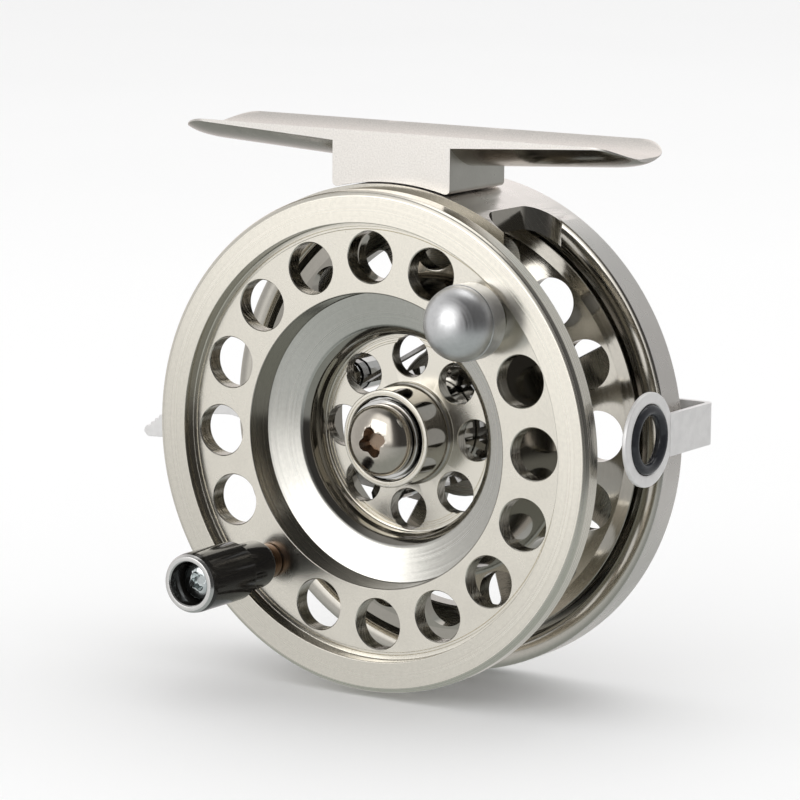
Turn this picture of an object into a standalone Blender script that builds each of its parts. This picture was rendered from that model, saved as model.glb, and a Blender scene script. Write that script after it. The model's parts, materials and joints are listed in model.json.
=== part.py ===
"""Small alloy fly reel: a perforated spool on a one-sided frame, with a line guide.

World frame: +Z up to the rod, +Y from the crank side to the back, +X along the rod foot.
The origin is the middle of the foot's rod seat. Inside the reel, pieces are laid out from
the spool axis: x across, z up, and depth back along +Y from the front face of the spool rim.
All lengths below are in millimetres; MM turns them into Blender's metres.
"""

import bpy
import bmesh
from math import atan2, cos, degrees, pi, radians, sin
from mathutils import Matrix, Vector

MM = 0.001

# The spool axis, seen from the rod seat
SEAT_HEIGHT = 35.0
SEAT_DEPTH = 11.0

# Roundness of turned pieces
BIG_STEPS = 48
SMALL_STEPS = 24
SHANK_STEPS = 14

# Spool
RIM_RADIUS = 30.0
RIM_INNER_RADIUS = 26.2
RING_DEPTH = 1.75
FLANGE_BACK_DEPTH = 3.95
OPENING_RADIUS = 17.5
ARBOR_RADIUS = 18.3
ARBOR_BACK_DEPTH = 15.9
REAR_FLANGE_RADIUS = 27.0
REAR_FLANGE_BACK = 18.7
CAVITY_RADIUS = 15.5
CAVITY_FLOOR = 11.3
FLOOR_DEPTH = 9.6
BOSS_RADIUS = 5.9
BOSS_FACE_DEPTH = 4.24
HUB_BACK_DEPTH = 17.3
POCKET_RADIUS = 5.05

# Rings of holes
OUTER_STATIONS = 16
OUTER_CIRCLE = 21.98
OUTER_HOLE_RADIUS = 3.08
OUTER_TWIST = radians(-2.08)
COUNTERWEIGHT_STATION = 2
HANDLE_STATION = 10
INNER_HOLES = 8
INNER_CIRCLE = 9.29
INNER_HOLE_RADIUS = 2.5

# Frame
RING_BORE = 27.95
RING_RADIUS = 30.45
RING_FRONT = 17.5
PLATE_FRONT = 21.0
PLATE_BACK = 23.5
BRIDGE_FRONT = 4.25
BRIDGE_HALF_WIDTH = 12.4
BRIDGE_FILLET = 3.6
WINDOW_COUNT = 8
WINDOW_INNER = 9.5
WINDOW_OUTER = 23.3
WINDOW_HALF_ANGLE = radians(16.0)

# Spindle, bearings and the screws on their axis
SPINDLE_RADIUS = 2.95
SPINDLE_FRONT = 4.5
SPINDLE_SHOULDER = 21.5
TAIL_RADIUS = 2.0
FIT_GAP = 0.1
BEARING_WIDTH = 3.0
FRONT_BEARING = 4.75
REAR_BEARING = 14.2
INNER_RACE = (3.05, 3.6)
OUTER_RACE = (4.35, 4.95)

# Foot and its block
FOOT_HALF_LENGTH = 31.4
FOOT_HALF_WIDTH = 6.2
FOOT_CORNER = 4.2
FOOT_LAND = 1.5
FOOT_LIP_RISE = 1.5
FOOT_SIDE = (1.4, 0.1)
FOOT_BELLY = 2.5
UNDERSIDE_SHARES = (1.0, 0.6, 0.2, -0.2, -0.6, -1.0)
BLOCK_HALF_LENGTH = 8.2
BLOCK_ROUND = 0.8
FOOT_SCREW_DEPTHS = (8.0, 14.2)

# Handle, counterweight
HANDLE_END = -15.1
HANDLE_BASE = -0.2
COUNTERWEIGHT_TOP = -7.2

# Line guide
GUIDE_X = 33.0
GUIDE_DEPTH = 8.8
GUIDE_HEIGHT = 2.65
GUIDE_DISC_RADIUS = 5.6
GUIDE_SEAT_RADIUS = 4.2
INSERT_RADIUS = 3.45
INSERT_SECTION = (0.7, 0.75)
STRIP_THICKNESS = 0.7
STRIP_BOTTOM = 0.0
STRIP_TOP = 5.0
STRIP_BACK = 24.5
STRIP_BEND = 1.6
LEG_END = 23.6
GUIDE_SCREWS = ((25.5, -2.3), (25.2, 7.0))

# Lock lever behind the frame, and the ratchet it locks
LEVER_PIVOT_RADIUS = 20.0
LEVER_PIVOT_ANGLE = radians(202.5)
LEVER_FRONT = 24.0
LEVER_BACK = 25.0
RATCHET_TEETH = 24
RATCHET_TIP = 7.4
RATCHET_ROOT = 6.4
RATCHET_BORE = 5.7
RATCHET_DEPTHS = (15.4, 17.1)
PAWL_DEPTHS = (15.6, 16.9)
CLICK_POST = (-12.3, 5.0)
PAWL_STUD = (-7.5, -9.4)
PAWL_NOSE = (-4.0, -6.98)


def polar(radius, angle):
    """Point in the x-z plane; the angle runs from +X towards +Z."""
    return radius * cos(angle), radius * sin(angle)


def station(index):
    """Centre of one outer hole, counted clockwise from the top as seen from the front."""
    turn = OUTER_TWIST + 2 * pi * index / OUTER_STATIONS
    return polar(OUTER_CIRCLE, pi / 2 - turn)


def clear_scene():
    for thing in list(bpy.data.objects):
        bpy.data.objects.remove(thing, do_unlink=True)


def material(name, colour, roughness, metallic):
    made = bpy.data.materials.new(name)
    made.use_nodes = True
    shader = made.node_tree.nodes["Principled BSDF"]
    shader.inputs["Base Color"].default_value = (*colour, 1.0)
    shader.inputs["Roughness"].default_value = roughness
    shader.inputs["Metallic"].default_value = metallic
    return made


def add_object(name, bm, paint, centre=(0.0, 0.0), guide=False):
    """Turn a bmesh into an object whose origin lies on the axis through centre."""
    bmesh.ops.recalc_face_normals(bm, faces=bm.faces)
    mesh = bpy.data.meshes.new(name)
    bm.to_mesh(mesh)
    bm.free()
    mesh.shade_smooth()
    mesh.set_sharp_from_angle(angle=radians(30))
    thing = bpy.data.objects.new(name, mesh)
    bpy.context.scene.collection.objects.link(thing)
    thing.parent = bpy.data.objects["spool_axis"]
    thing.location = (centre[0] * MM, 0.0, centre[1] * MM)
    if guide:
        thing.hide_render = True
        thing.display_type = "WIRE"
    else:
        mesh.materials.append(paint)
    return thing


def turned_bmesh(outline, steps):
    """Spin a closed (radius, depth) outline about the depth axis."""
    bm = bmesh.new()
    verts = [bm.verts.new((radius * MM, depth * MM, 0.0)) for radius, depth in outline]
    edges = []
    for first, second in zip(verts, verts[1:] + verts[:1]):
        if first.co.x > 0 or second.co.x > 0:
            edges.append(bm.edges.new((first, second)))
    bmesh.ops.spin(bm, geom=verts + edges, cent=(0, 0, 0), axis=(0, 1, 0), angle=2 * pi,
                   steps=steps, use_duplicate=False)
    bmesh.ops.remove_doubles(bm, verts=bm.verts, dist=1e-7)
    return bm


def turned(name, outline, paint, steps=SMALL_STEPS, centre=(0.0, 0.0)):
    return add_object(name, turned_bmesh(outline, steps), paint, centre)


def skin(bm, first, second):
    """Close the wall between two rings of the same count; a shared edge gives no face."""
    for index in range(len(first)):
        after = (index + 1) % len(first)
        corners = [first[index], first[after], second[after], second[index]]
        if len(set(corners)) == 4:
            bm.faces.new(corners)


def prism_bmesh(outline, low, high, bm=None, shrink=1.0):
    """Extrude an (x, z) outline from depth low to depth high, where it may shrink."""
    bm = bm or bmesh.new()
    front = [bm.verts.new((x * MM, low * MM, z * MM)) for x, z in outline]
    back = [bm.verts.new((x * shrink * MM, high * MM, z * shrink * MM)) for x, z in outline]
    bm.faces.new(front)
    bm.faces.new(back)
    skin(bm, front, back)
    return bm


def upright_prism_bmesh(outline, low, high):
    """Extrude an (x, depth) outline from height low to height high."""
    bm = bmesh.new()
    bottom = [bm.verts.new((x * MM, y * MM, low * MM)) for x, y in outline]
    top = [bm.verts.new((x * MM, y * MM, high * MM)) for x, y in outline]
    bm.faces.new(bottom)
    bm.faces.new(top)
    skin(bm, bottom, top)
    return bm


def cylinder_bmesh(centre, radius, low, high, steps=SHANK_STEPS, bm=None):
    outline = [(centre[0] + x, centre[1] + z)
               for x, z in (polar(radius, 2 * pi * (step + 0.3) / steps) for step in range(steps))]
    return prism_bmesh(outline, low, high, bm)


def boolean(target, tool_name, bm, operation="DIFFERENCE"):
    """Cut target with a hidden guide, or join the guide to it. Both lie on the same axis."""
    centre = (target.location.x / MM, target.location.z / MM)
    tool = add_object(tool_name, bm, None, centre, guide=True)
    step = target.modifiers.new(tool_name, "BOOLEAN")
    step.operation = operation
    step.solver = "EXACT"
    step.object = tool
    return tool


def arc(centre, radius, start, end, count):
    """Points on an arc, ends included; angles in degrees."""
    points = []
    for index in range(count + 1):
        angle = radians(start + (end - start) * index / count)
        points.append((centre[0] + radius * cos(angle), centre[1] + radius * sin(angle)))
    return points


def cross_recess(width, length, mouth, floor, turn):
    """Tapered Phillips cross, cut from depth mouth to depth floor."""
    half, reach = width / 2, length / 2
    quarter = [(half, half), (half, reach), (-half, reach)]
    outline = []
    for corner in range(4):
        angle = turn + corner * pi / 2
        outline += [(x * cos(angle) - z * sin(angle), x * sin(angle) + z * cos(angle))
                    for x, z in quarter]
    return prism_bmesh(outline, mouth, floor, shrink=0.55)


# ---------------------------------------------------------------- spool

def make_spool(paint):
    outline = [
        (POCKET_RADIUS, BOSS_FACE_DEPTH), (BOSS_RADIUS, BOSS_FACE_DEPTH),
        (BOSS_RADIUS, FLOOR_DEPTH), (12.0, FLOOR_DEPTH), (12.4, 8.1), (13.2, 6.3),
        (OPENING_RADIUS, 5.1), (17.7, RING_DEPTH), (RIM_INNER_RADIUS, RING_DEPTH),
        (RIM_INNER_RADIUS, 0.0), (29.4, 0.1), (29.8, 0.3), (RIM_RADIUS, 0.7), (RIM_RADIUS, 2.6),
        (28.9, FLANGE_BACK_DEPTH), (ARBOR_RADIUS, FLANGE_BACK_DEPTH),
        (ARBOR_RADIUS, ARBOR_BACK_DEPTH), (25.4, 17.35), (REAR_FLANGE_RADIUS, RING_FRONT),
        (REAR_FLANGE_RADIUS, REAR_FLANGE_BACK), (CAVITY_RADIUS, REAR_FLANGE_BACK),
        (CAVITY_RADIUS, CAVITY_FLOOR), (BOSS_RADIUS, CAVITY_FLOOR), (BOSS_RADIUS, 15.2),
        (5.6, 15.2), (5.6, HUB_BACK_DEPTH), (POCKET_RADIUS, HUB_BACK_DEPTH),
        (POCKET_RADIUS, 14.0), (4.0, 14.0), (4.0, 7.95), (POCKET_RADIUS, 7.95),
    ]
    spool = turned("spool", outline, paint, BIG_STEPS)
    holes = bmesh.new()
    for index in range(OUTER_STATIONS):
        centre = station(index)
        radius = OUTER_HOLE_RADIUS
        if index in (COUNTERWEIGHT_STATION, HANDLE_STATION):
            radius = 1.5
        cylinder_bmesh(centre, radius, 1.0, 5.0, bm=holes)
        cylinder_bmesh(centre, OUTER_HOLE_RADIUS, 15.0, 20.0, bm=holes)
    for index in range(INNER_HOLES):
        centre = polar(INNER_CIRCLE, pi / 2 + 2 * pi * index / INNER_HOLES)
        cylinder_bmesh(centre, INNER_HOLE_RADIUS, 8.6, 12.3, bm=holes)
    boolean(spool, "spool_holes", holes)


def make_ratchet(paint):
    pitch = 2 * pi / RATCHET_TEETH
    outline = []
    for tooth in range(RATCHET_TEETH):
        for radius, share in ((RATCHET_ROOT, -0.28), (RATCHET_TIP, -0.2),
                              (RATCHET_TIP, 0.2), (RATCHET_ROOT, 0.28)):
            outline.append(polar(radius, pitch * (tooth + share)))
    gear = add_object("ratchet_gear", prism_bmesh(outline, *RATCHET_DEPTHS), paint)
    boolean(gear, "ratchet_bore", cylinder_bmesh((0, 0), RATCHET_BORE, 14.0, 18.0, SMALL_STEPS))


def make_bearings(paint):
    for name, start in (("front", FRONT_BEARING), ("rear", REAR_BEARING)):
        end = start + BEARING_WIDTH
        for part, (inside, outside) in (("inner_race", INNER_RACE), ("outer_race", OUTER_RACE)):
            outline = [(inside, start), (outside, start), (outside, end), (inside, end)]
            turned(f"{name}_bearing_{part}", outline, paint)
    start, end = FRONT_BEARING + BEARING_WIDTH + 0.2, REAR_BEARING - 0.2
    inside, outside = INNER_RACE
    turned("bearing_spacer", [(inside, start), (outside, start), (outside, end), (inside, end)],
           paint)


def make_counterweight(paint):
    outline = [(0.0, COUNTERWEIGHT_TOP)]
    outline += [(4.5 * sin(radians(a)), -4.2 - 3.0 * cos(radians(a))) for a in range(18, 90, 18)]
    outline += [(4.5, -4.2), (4.5, -0.6), (3.0, -0.35), (3.0, RING_DEPTH - 0.2), (1.4, RING_DEPTH - 0.2),
                (1.4, FLANGE_BACK_DEPTH - 0.2), (0.0, FLANGE_BACK_DEPTH - 0.2)]
    turned("counterweight", outline, paint, centre=station(COUNTERWEIGHT_STATION))


# ---------------------------------------------------------------- handle

def make_handle(brass, black, zinc):
    centre = station(HANDLE_STATION)
    foot = RING_DEPTH - 0.2
    post = [(0.0, -7.0), (0.95, -7.0), (0.95, -11.0), (1.6, -11.0), (1.6, 0.1), (2.2, 0.3),
            (2.2, foot), (1.4, foot), (1.4, FLANGE_BACK_DEPTH - 0.2), (0.0, FLANGE_BACK_DEPTH - 0.2)]
    turned("handle_post", post, brass, centre=centre)
    sleeve = [(1.8, -11.2), (2.45, -11.2), (2.5, -14.9), (2.75, HANDLE_END), (3.25, HANDLE_END),
              (3.5, -14.75), (3.6, -6.4), (3.4, -5.6), (2.95, -4.9), (2.85, -1.0), (2.4, HANDLE_BASE),
              (1.8, HANDLE_BASE)]
    turned("handle_sleeve", sleeve, black, centre=centre)
    screw = [(0.0, -13.3), (1.5, -13.2), (2.3, -12.7), (2.3, -11.5), (0.85, -11.5), (0.85, -7.5),
             (0.0, -7.5)]
    head = turned("handle_screw", screw, zinc, SHANK_STEPS, centre=centre)
    boolean(head, "handle_screw_cross", cross_recess(0.6, 2.6, -13.8, -12.4, radians(20)))


# ---------------------------------------------------------------- spindle

def make_spindle(steel, dark):
    bore = 1.75
    outline = [(bore, SPINDLE_FRONT), (SPINDLE_RADIUS, SPINDLE_FRONT),
               (SPINDLE_RADIUS, SPINDLE_SHOULDER), (TAIL_RADIUS, SPINDLE_SHOULDER),
               (TAIL_RADIUS, 27.2), (0.0, 27.2), (0.0, 12.0), (bore, 12.0)]
    turned("spindle", outline, steel)
    dome = [(4.3 * sin(radians(a)), 3.0 - 1.9 * cos(radians(a))) for a in range(15, 90, 15)]
    screw = [(0.0, 1.1)] + dome + [(4.3, 3.0), (4.3, 3.55), (1.65, 3.55), (1.65, 10.0), (0.0, 10.0)]
    head = turned("spool_screw", screw, steel)
    boolean(head, "spool_screw_cross", cross_recess(1.15, 4.4, 0.5, 2.7, radians(17)))
    washer = [(1.85, 3.8), (4.75, 3.8), (4.75, 4.3), (1.85, 4.3)]
    turned("spool_washer", washer, dark)
    turned("spindle_washer", [(2.1, 23.75), (4.5, 23.75), (4.5, 24.25), (2.1, 24.25)], steel)
    hexagon = [polar(4.04, radians(60 * corner)) for corner in range(6)]
    nut = add_object("spindle_nut", prism_bmesh(hexagon, 24.5, 26.7), steel)
    boolean(nut, "nut_bore", cylinder_bmesh((0, 0), TAIL_RADIUS + FIT_GAP, 24.0, 28.0))


# ---------------------------------------------------------------- frame

def bridge_outline():
    """The bridge from above: waisted, with a fillet into each end."""
    waist, fillet = BRIDGE_HALF_WIDTH, BRIDGE_FILLET
    front = arc((waist + fillet, BRIDGE_FRONT + fillet), fillet, 270, 180, 5)
    back = arc((waist + fillet, RING_FRONT - fillet), fillet, 180, 90, 5)
    right = front + back
    left = [(-x, depth) for x, depth in reversed(right)]
    return [(waist + fillet, 2.0)] + right + [(waist + fillet, 19.0), (-waist - fillet, 19.0)] \
        + left + [(-waist - fillet, 2.0)]


def window_bmesh(bm, middle):
    """One back-plate window: a ring sector with rounded corners."""
    inner = [polar(WINDOW_INNER, middle + WINDOW_HALF_ANGLE * share) for share in (-1, -0.33, 0.33, 1)]
    outer = [polar(WINDOW_OUTER, middle + WINDOW_HALF_ANGLE * share)
             for share in (1, 0.66, 0.33, 0, -0.33, -0.66, -1)]
    box = prism_bmesh(inner + outer, PLATE_FRONT - 1.0, PLATE_BACK + 1.0)
    box.edges.ensure_lookup_table()
    corners = []
    for edge in box.edges:
        along = edge.verts[1].co - edge.verts[0].co
        spot = edge.verts[0].co
        angle = atan2(spot.z, spot.x) - middle
        angle = abs((angle + pi) % (2 * pi) - pi)
        if abs(along.y) > MM and abs(angle - WINDOW_HALF_ANGLE) < 1e-3:
            corners.append(edge)
    bmesh.ops.bevel(box, geom=corners, offset=1.2 * MM, segments=3, profile=0.5, affect="EDGES")
    piece = bpy.data.meshes.new("window")
    box.to_mesh(piece)
    box.free()
    bm.from_mesh(piece)
    bpy.data.meshes.remove(piece)


def upright_cylinder(bm, depth, radii, heights, steps=SHANK_STEPS):
    """Turned cutter about a vertical axis at x = 0, from one (radius, height) to the next."""
    rings = []
    for radius, height in zip(radii, heights):
        rings.append([bm.verts.new((x * MM, (depth + y) * MM, height * MM))
                      for x, y in (polar(radius, 2 * pi * step / steps) for step in range(steps))])
    for low, high in zip(rings, rings[1:]):
        skin(bm, low, high)
    bm.faces.new(rings[0])
    bm.faces.new(rings[-1])
    return bm


def make_frame(paint):
    outline = [(RING_BORE, BRIDGE_FRONT), (RING_RADIUS, BRIDGE_FRONT), (RING_RADIUS, 22.0),
               (28.95, PLATE_BACK), (TAIL_RADIUS + FIT_GAP, PLATE_BACK), (TAIL_RADIUS + FIT_GAP, 21.7),
               (SPINDLE_RADIUS + FIT_GAP, 21.7), (SPINDLE_RADIUS + FIT_GAP, 17.45), (4.2, 17.45),
               (4.2, 19.5), (6.5, PLATE_FRONT), (RING_BORE, PLATE_FRONT)]
    frame = turned("frame", outline, paint, BIG_STEPS)
    # Everything ahead of the ring goes, except the bridge under the foot.
    block = prism_bmesh([(-40, -40), (40, -40), (40, 40), (-40, 40)], 1.0, RING_FRONT)
    cutter = boolean(frame, "open_front", block)
    boolean(cutter, "bridge_shape", upright_prism_bmesh(bridge_outline(), 10, 50))
    windows = bmesh.new()
    for index in range(WINDOW_COUNT):
        if index != 2:
            window_bmesh(windows, 2 * pi * index / WINDOW_COUNT)
    drilled = [(polar(LEVER_PIVOT_RADIUS, LEVER_PIVOT_ANGLE), 1.3), (CLICK_POST, 1.1)]
    drilled += [(place, 1.0) for place in GUIDE_SCREWS]
    for centre, radius in drilled:
        cylinder_bmesh(centre, radius, PLATE_FRONT - 1.0, PLATE_BACK + 1.0, bm=windows)
    boolean(frame, "plate_windows", windows)
    screws = bmesh.new()
    for depth in FOOT_SCREW_DEPTHS:
        upright_cylinder(screws, depth, (2.1, 2.1, 1.15, 1.15), (27.0, 28.15, 29.3, 32.0))
    boolean(frame, "foot_screw_holes", screws)


# ---------------------------------------------------------------- foot

def foot_section(x):
    """Points (depth from the middle, height) round the foot at x: dished above, rounded below."""
    taper = max(0.0, (abs(x) - BLOCK_HALF_LENGTH) / (FOOT_HALF_LENGTH - BLOCK_HALF_LENGTH))
    side = FOOT_SIDE[0] + (FOOT_SIDE[1] - FOOT_SIDE[0]) * taper
    past = max(0.0, abs(x) - (FOOT_HALF_LENGTH - FOOT_CORNER)) / FOOT_CORNER
    half = FOOT_HALF_WIDTH - FOOT_CORNER * (1 - max(0.0, 1 - past ** 2) ** 0.5)

    def top(y):
        beyond = max(0.0, abs(y) - FOOT_LAND)
        return SEAT_HEIGHT + FOOT_LIP_RISE * (beyond / (FOOT_HALF_WIDTH - FOOT_LAND)) ** 2

    land = min(FOOT_LAND, 0.6 * half)
    between = [land + (half - land) * share for share in (0.35, 0.7)]
    across = [-half, -between[1], -between[0], -land, land, between[0], between[1], half]
    upper = [(y, top(y)) for y in across]
    belly = FOOT_BELLY * (half / FOOT_HALF_WIDTH) ** 2
    lower = [(share * half, top(half) - side - belly * (1 - share ** 2))
             for share in UNDERSIDE_SHARES]
    return upper + lower


def block_bottom(x):
    """Height of the block's underside at x: a saddle on the bridge, with rounded corners."""
    saddle = ((RING_RADIUS + 0.15) ** 2 - x ** 2) ** 0.5
    past = max(0.0, abs(x) - (BLOCK_HALF_LENGTH - BLOCK_ROUND))
    return saddle + BLOCK_ROUND - (BLOCK_ROUND ** 2 - past ** 2) ** 0.5


def make_foot(paint):
    bm = bmesh.new()

    def points(x, section):
        return [bm.verts.new((x * MM, (SEAT_DEPTH + y) * MM, z * MM)) for y, z in section]

    arm = [BLOCK_HALF_LENGTH, 15.0, FOOT_HALF_LENGTH - FOOT_CORNER]
    arm += [arm[-1] + FOOT_CORNER * sin(radians(turn)) for turn in (20, 40, 58, 74)]
    below = [8.08, 7.8, BLOCK_HALF_LENGTH - BLOCK_ROUND, 4.8, 2.2]
    roots = []
    for side in (-1, 1):
        rings = [points(side * x, foot_section(side * x)) for x in arm]
        for near, far in zip(rings, rings[1:]):
            skin(bm, near, far)
        bm.faces.new(rings[-1])
        roots.append(rings[0])
    # The block hangs below the rim line of the foot between its two arms.
    section = foot_section(BLOCK_HALF_LENGTH)
    upper, rim = section[:8], section[8][1]

    def drop(x):
        return [(share * FOOT_HALF_WIDTH, block_bottom(x)) for share in UNDERSIDE_SHARES]

    rings = []
    for side, root in zip((-1, 1), roots):
        hem = points(side * BLOCK_HALF_LENGTH, drop(BLOCK_HALF_LENGTH))
        for index in range(5):
            bm.faces.new((root[8 + index], root[9 + index], hem[index + 1], hem[index]))
        rings.append(root[:9] + hem + [root[13]])
    inner = []
    for x in [-x for x in below] + [0.0] + list(reversed(below)):
        inner.append(points(x, upper + [(FOOT_HALF_WIDTH, rim)] + drop(x) + [(-FOOT_HALF_WIDTH, rim)]))
    chain = [rings[0]] + inner + [rings[1]]
    for near, far in zip(chain, chain[1:]):
        skin(bm, near, far)
    foot = add_object("reel_foot", bm, paint)
    screws = bmesh.new()
    for depth in FOOT_SCREW_DEPTHS:
        upright_cylinder(screws, depth, (1.15, 1.15), (28.0, 33.2))
    boolean(foot, "foot_tapped_holes", screws)


def make_foot_screws(paint):
    for name, depth in zip(("foot_screw_front", "foot_screw_rear"), FOOT_SCREW_DEPTHS):
        bm = bmesh.new()
        upright_cylinder(bm, depth, (1.9, 1.9, 1.0, 1.0), (28.1, 28.3, 29.3, 32.9), steps=12)
        add_object(name, bm, paint)


# ---------------------------------------------------------------- line guide

def turned_on_x(outline, steps):
    """Spin a (radius, x) outline about the guide's axis, which runs along X."""
    bm = turned_bmesh([(radius, x) for radius, x in outline], steps)
    turn = Matrix.Rotation(-pi / 2, 4, "Z")
    bmesh.ops.transform(bm, matrix=turn, verts=bm.verts)
    bmesh.ops.translate(bm, verts=bm.verts, vec=(0.0, GUIDE_DEPTH * MM, GUIDE_HEIGHT * MM))
    return bm


def make_guide(steel, ceramic):
    disc = [(GUIDE_SEAT_RADIUS, GUIDE_X - 0.3), (5.5, GUIDE_X - 0.3), (GUIDE_DISC_RADIUS, GUIDE_X - 0.2),
            (GUIDE_DISC_RADIUS, GUIDE_X + 0.2), (5.5, GUIDE_X + 0.3), (GUIDE_SEAT_RADIUS, GUIDE_X + 0.3)]
    bracket = add_object("guide_bracket", turned_on_x(disc, 32), steel)
    thick = STRIP_THICKNESS
    outside, front = GUIDE_X + thick / 2, GUIDE_DEPTH + 4.9
    bend = (outside - STRIP_BEND, STRIP_BACK - STRIP_BEND)
    path = [(outside, front)] + arc(bend, STRIP_BEND, 0, 90, 4) + [(LEG_END, STRIP_BACK)]
    path += [(LEG_END, STRIP_BACK - thick)] + arc(bend, STRIP_BEND - thick, 90, 0, 4)
    path += [(outside - thick, front)]
    boolean(bracket, "guide_strip", upright_prism_bmesh(path, STRIP_BOTTOM, STRIP_TOP), "UNION")
    pad = [(23.4, -4.4), (26.8, -4.4), (27.3, -3.9), (27.3, 8.4), (26.8, 8.9), (23.4, 8.9)]
    boolean(bracket, "guide_pad", prism_bmesh(pad, STRIP_BACK - thick + 0.02, STRIP_BACK - 0.02), "UNION")
    holes = bmesh.new()
    for centre in GUIDE_SCREWS:
        cylinder_bmesh(centre, 1.0, 22.5, 26.0, bm=holes)
    boolean(bracket, "guide_screw_holes", holes)
    across, along = INSERT_SECTION
    section = [(INSERT_RADIUS + across * cos(radians(a)), GUIDE_X + along * sin(radians(a)))
               for a in range(0, 360, 30)]
    add_object("guide_ring", turned_on_x(section, 32), ceramic)
    for name, place in zip(("guide_screw_lower", "guide_screw_upper"), GUIDE_SCREWS):
        screw = [(0.0, 26.0), (1.2, 25.8), (1.7, 25.2), (1.7, 24.7), (0.85, 24.7), (0.85, 21.3), (0.0, 21.3)]
        turned(name, screw, steel, SHANK_STEPS, centre=place)


# ---------------------------------------------------------------- lock lever and click

def make_lever(steel):
    pivot = polar(LEVER_PIVOT_RADIUS, LEVER_PIVOT_ANGLE)
    stud = PAWL_STUD
    outline = [(-49.7, -6.5), (-49.0, -7.5), (-46.9, -7.4), (-44.5, -6.0), (-41.5, -3.9), (-36.0, -3.3),
               (-30.0, -5.0), (-24.0, -8.6)]
    outline += arc(pivot, 2.9, 240, 300, 3)
    outline += arc(stud, 2.0, 260, 400, 5)
    outline += arc(pivot, 2.9, 45, 110, 3)
    outline += [(-24.0, -4.2), (-30.0, -1.6), (-36.0, -0.6), (-42.0, -1.2), (-44.6, -2.4), (-47.0, -4.3)]
    local = [(x - pivot[0], z - pivot[1]) for x, z in outline]
    bm = prism_bmesh(local, LEVER_FRONT, LEVER_BACK)
    lever = add_object("lock_lever", bm, steel, pivot)
    holes = cylinder_bmesh((0, 0), 1.35, 23.0, 26.0)
    cylinder_bmesh((stud[0] - pivot[0], stud[1] - pivot[1]), 1.1, 23.0, 26.0, bm=holes)
    boolean(lever, "lever_holes", holes)
    screw = [(0.0, 26.6), (1.6, 26.4), (2.4, 25.8), (2.4, 25.3), (1.2, 25.3), (1.2, 21.2), (0.0, 21.2)]
    turned("lever_pivot_screw", screw, steel, SHANK_STEPS, centre=pivot)
    # The pawl: a stud through the lever, with a nose that drops into the ratchet.
    along = (Vector(PAWL_NOSE) - Vector(stud)).normalized()
    side = Vector((-along.y, along.x))
    corners = [Vector(PAWL_NOSE) - along * reach + side * width
               for reach, width in ((0.0, 0.25), (1.3, 0.55), (2.6, 1.3),
                                    (2.6, -1.3), (1.3, -0.55), (0.0, -0.25))]
    heading = degrees(atan2(along.y, along.x))
    nose = corners[:3] + arc(stud, 1.7, heading + 100, heading + 260, 4) + corners[3:]
    local = [(x - pivot[0], z - pivot[1]) for x, z in nose]
    pawl = add_object("lock_pawl", prism_bmesh(local, *PAWL_DEPTHS), steel, pivot)
    place = (stud[0] - pivot[0], stud[1] - pivot[1])
    boolean(pawl, "pawl_stud", cylinder_bmesh(place, 1.0, PAWL_DEPTHS[1] - 0.5, LEVER_BACK), "UNION")


def make_click_spring(spring_steel, steel):
    post = CLICK_POST
    root, bend, nose = Vector((-12.0, 3.6)), Vector((-1.4, 9.9)), Vector((-0.9, 8.0))
    along = (bend - root).normalized()
    side = Vector((-along.y, along.x)) * 0.22
    strip = [root - side, bend - along * 0.3 - side, nose - along * 0.2, nose + along * 0.25,
             bend + along * 0.3, bend + side, root + side]
    leaf = add_object("click_spring", prism_bmesh(strip, *PAWL_DEPTHS), spring_steel)
    eye = cylinder_bmesh(post, 1.9, PAWL_DEPTHS[0] + 0.02, PAWL_DEPTHS[1] - 0.02)
    boolean(leaf, "click_spring_eye", eye, "UNION")
    boolean(leaf, "click_spring_hole", cylinder_bmesh(post, 1.1, 14.0, 18.0))
    screw = [(0.0, 14.6), (1.4, 14.7), (1.7, 15.1), (1.7, 15.35), (1.0, 15.35), (1.0, 17.2), (2.0, 17.2),
             (2.0, 20.75), (1.0, 20.75), (1.0, 23.3), (0.0, 23.3)]
    turned("click_post", screw, steel, SHANK_STEPS, centre=post)


def main():
    clear_scene()
    axis = bpy.data.objects.new("spool_axis", None)
    axis.location = (0.0, -SEAT_DEPTH * MM, -SEAT_HEIGHT * MM)
    bpy.context.scene.collection.objects.link(axis)

    alloy = material("champagne_alloy", (0.74, 0.71, 0.65), 0.22, 1.0)
    blasted = material("blasted_alloy", (0.66, 0.64, 0.60), 0.45, 1.0)
    grey = material("grey_alloy", (0.62, 0.63, 0.65), 0.35, 1.0)
    steel = material("bright_steel", (0.62, 0.61, 0.60), 0.18, 1.0)
    dark = material("dark_steel", (0.25, 0.24, 0.23), 0.3, 1.0)
    brass = material("brass", (0.62, 0.42, 0.22), 0.3, 1.0)
    black = material("black_sleeve", (0.015, 0.013, 0.012), 0.15, 0.0)
    ceramic = material("grey_ceramic", (0.06, 0.06, 0.07), 0.15, 0.0)
    spring_steel = material("spring_steel", (0.35, 0.34, 0.33), 0.3, 1.0)

    make_spool(alloy)
    make_ratchet(steel)
    make_bearings(steel)
    make_counterweight(grey)
    make_handle(brass, black, steel)
    make_spindle(steel, dark)
    make_frame(alloy)
    make_foot(blasted)
    make_foot_screws(steel)
    make_guide(grey, ceramic)
    make_lever(grey)
    make_click_spring(spring_steel, steel)


main()
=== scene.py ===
"""Looks of a small alloy fly reel: fine turned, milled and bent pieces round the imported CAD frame.

Outlines are in millimetres from the spool axis: radius or x and z across, depth back along +Y
from the front face of the spool rim. The axis and the face come from the frame.
"""

import json
from math import asin, ceil, cos, degrees, hypot, pi, radians, sin, tan

import bmesh
import bpy
from mathutils import Matrix, Vector


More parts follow.
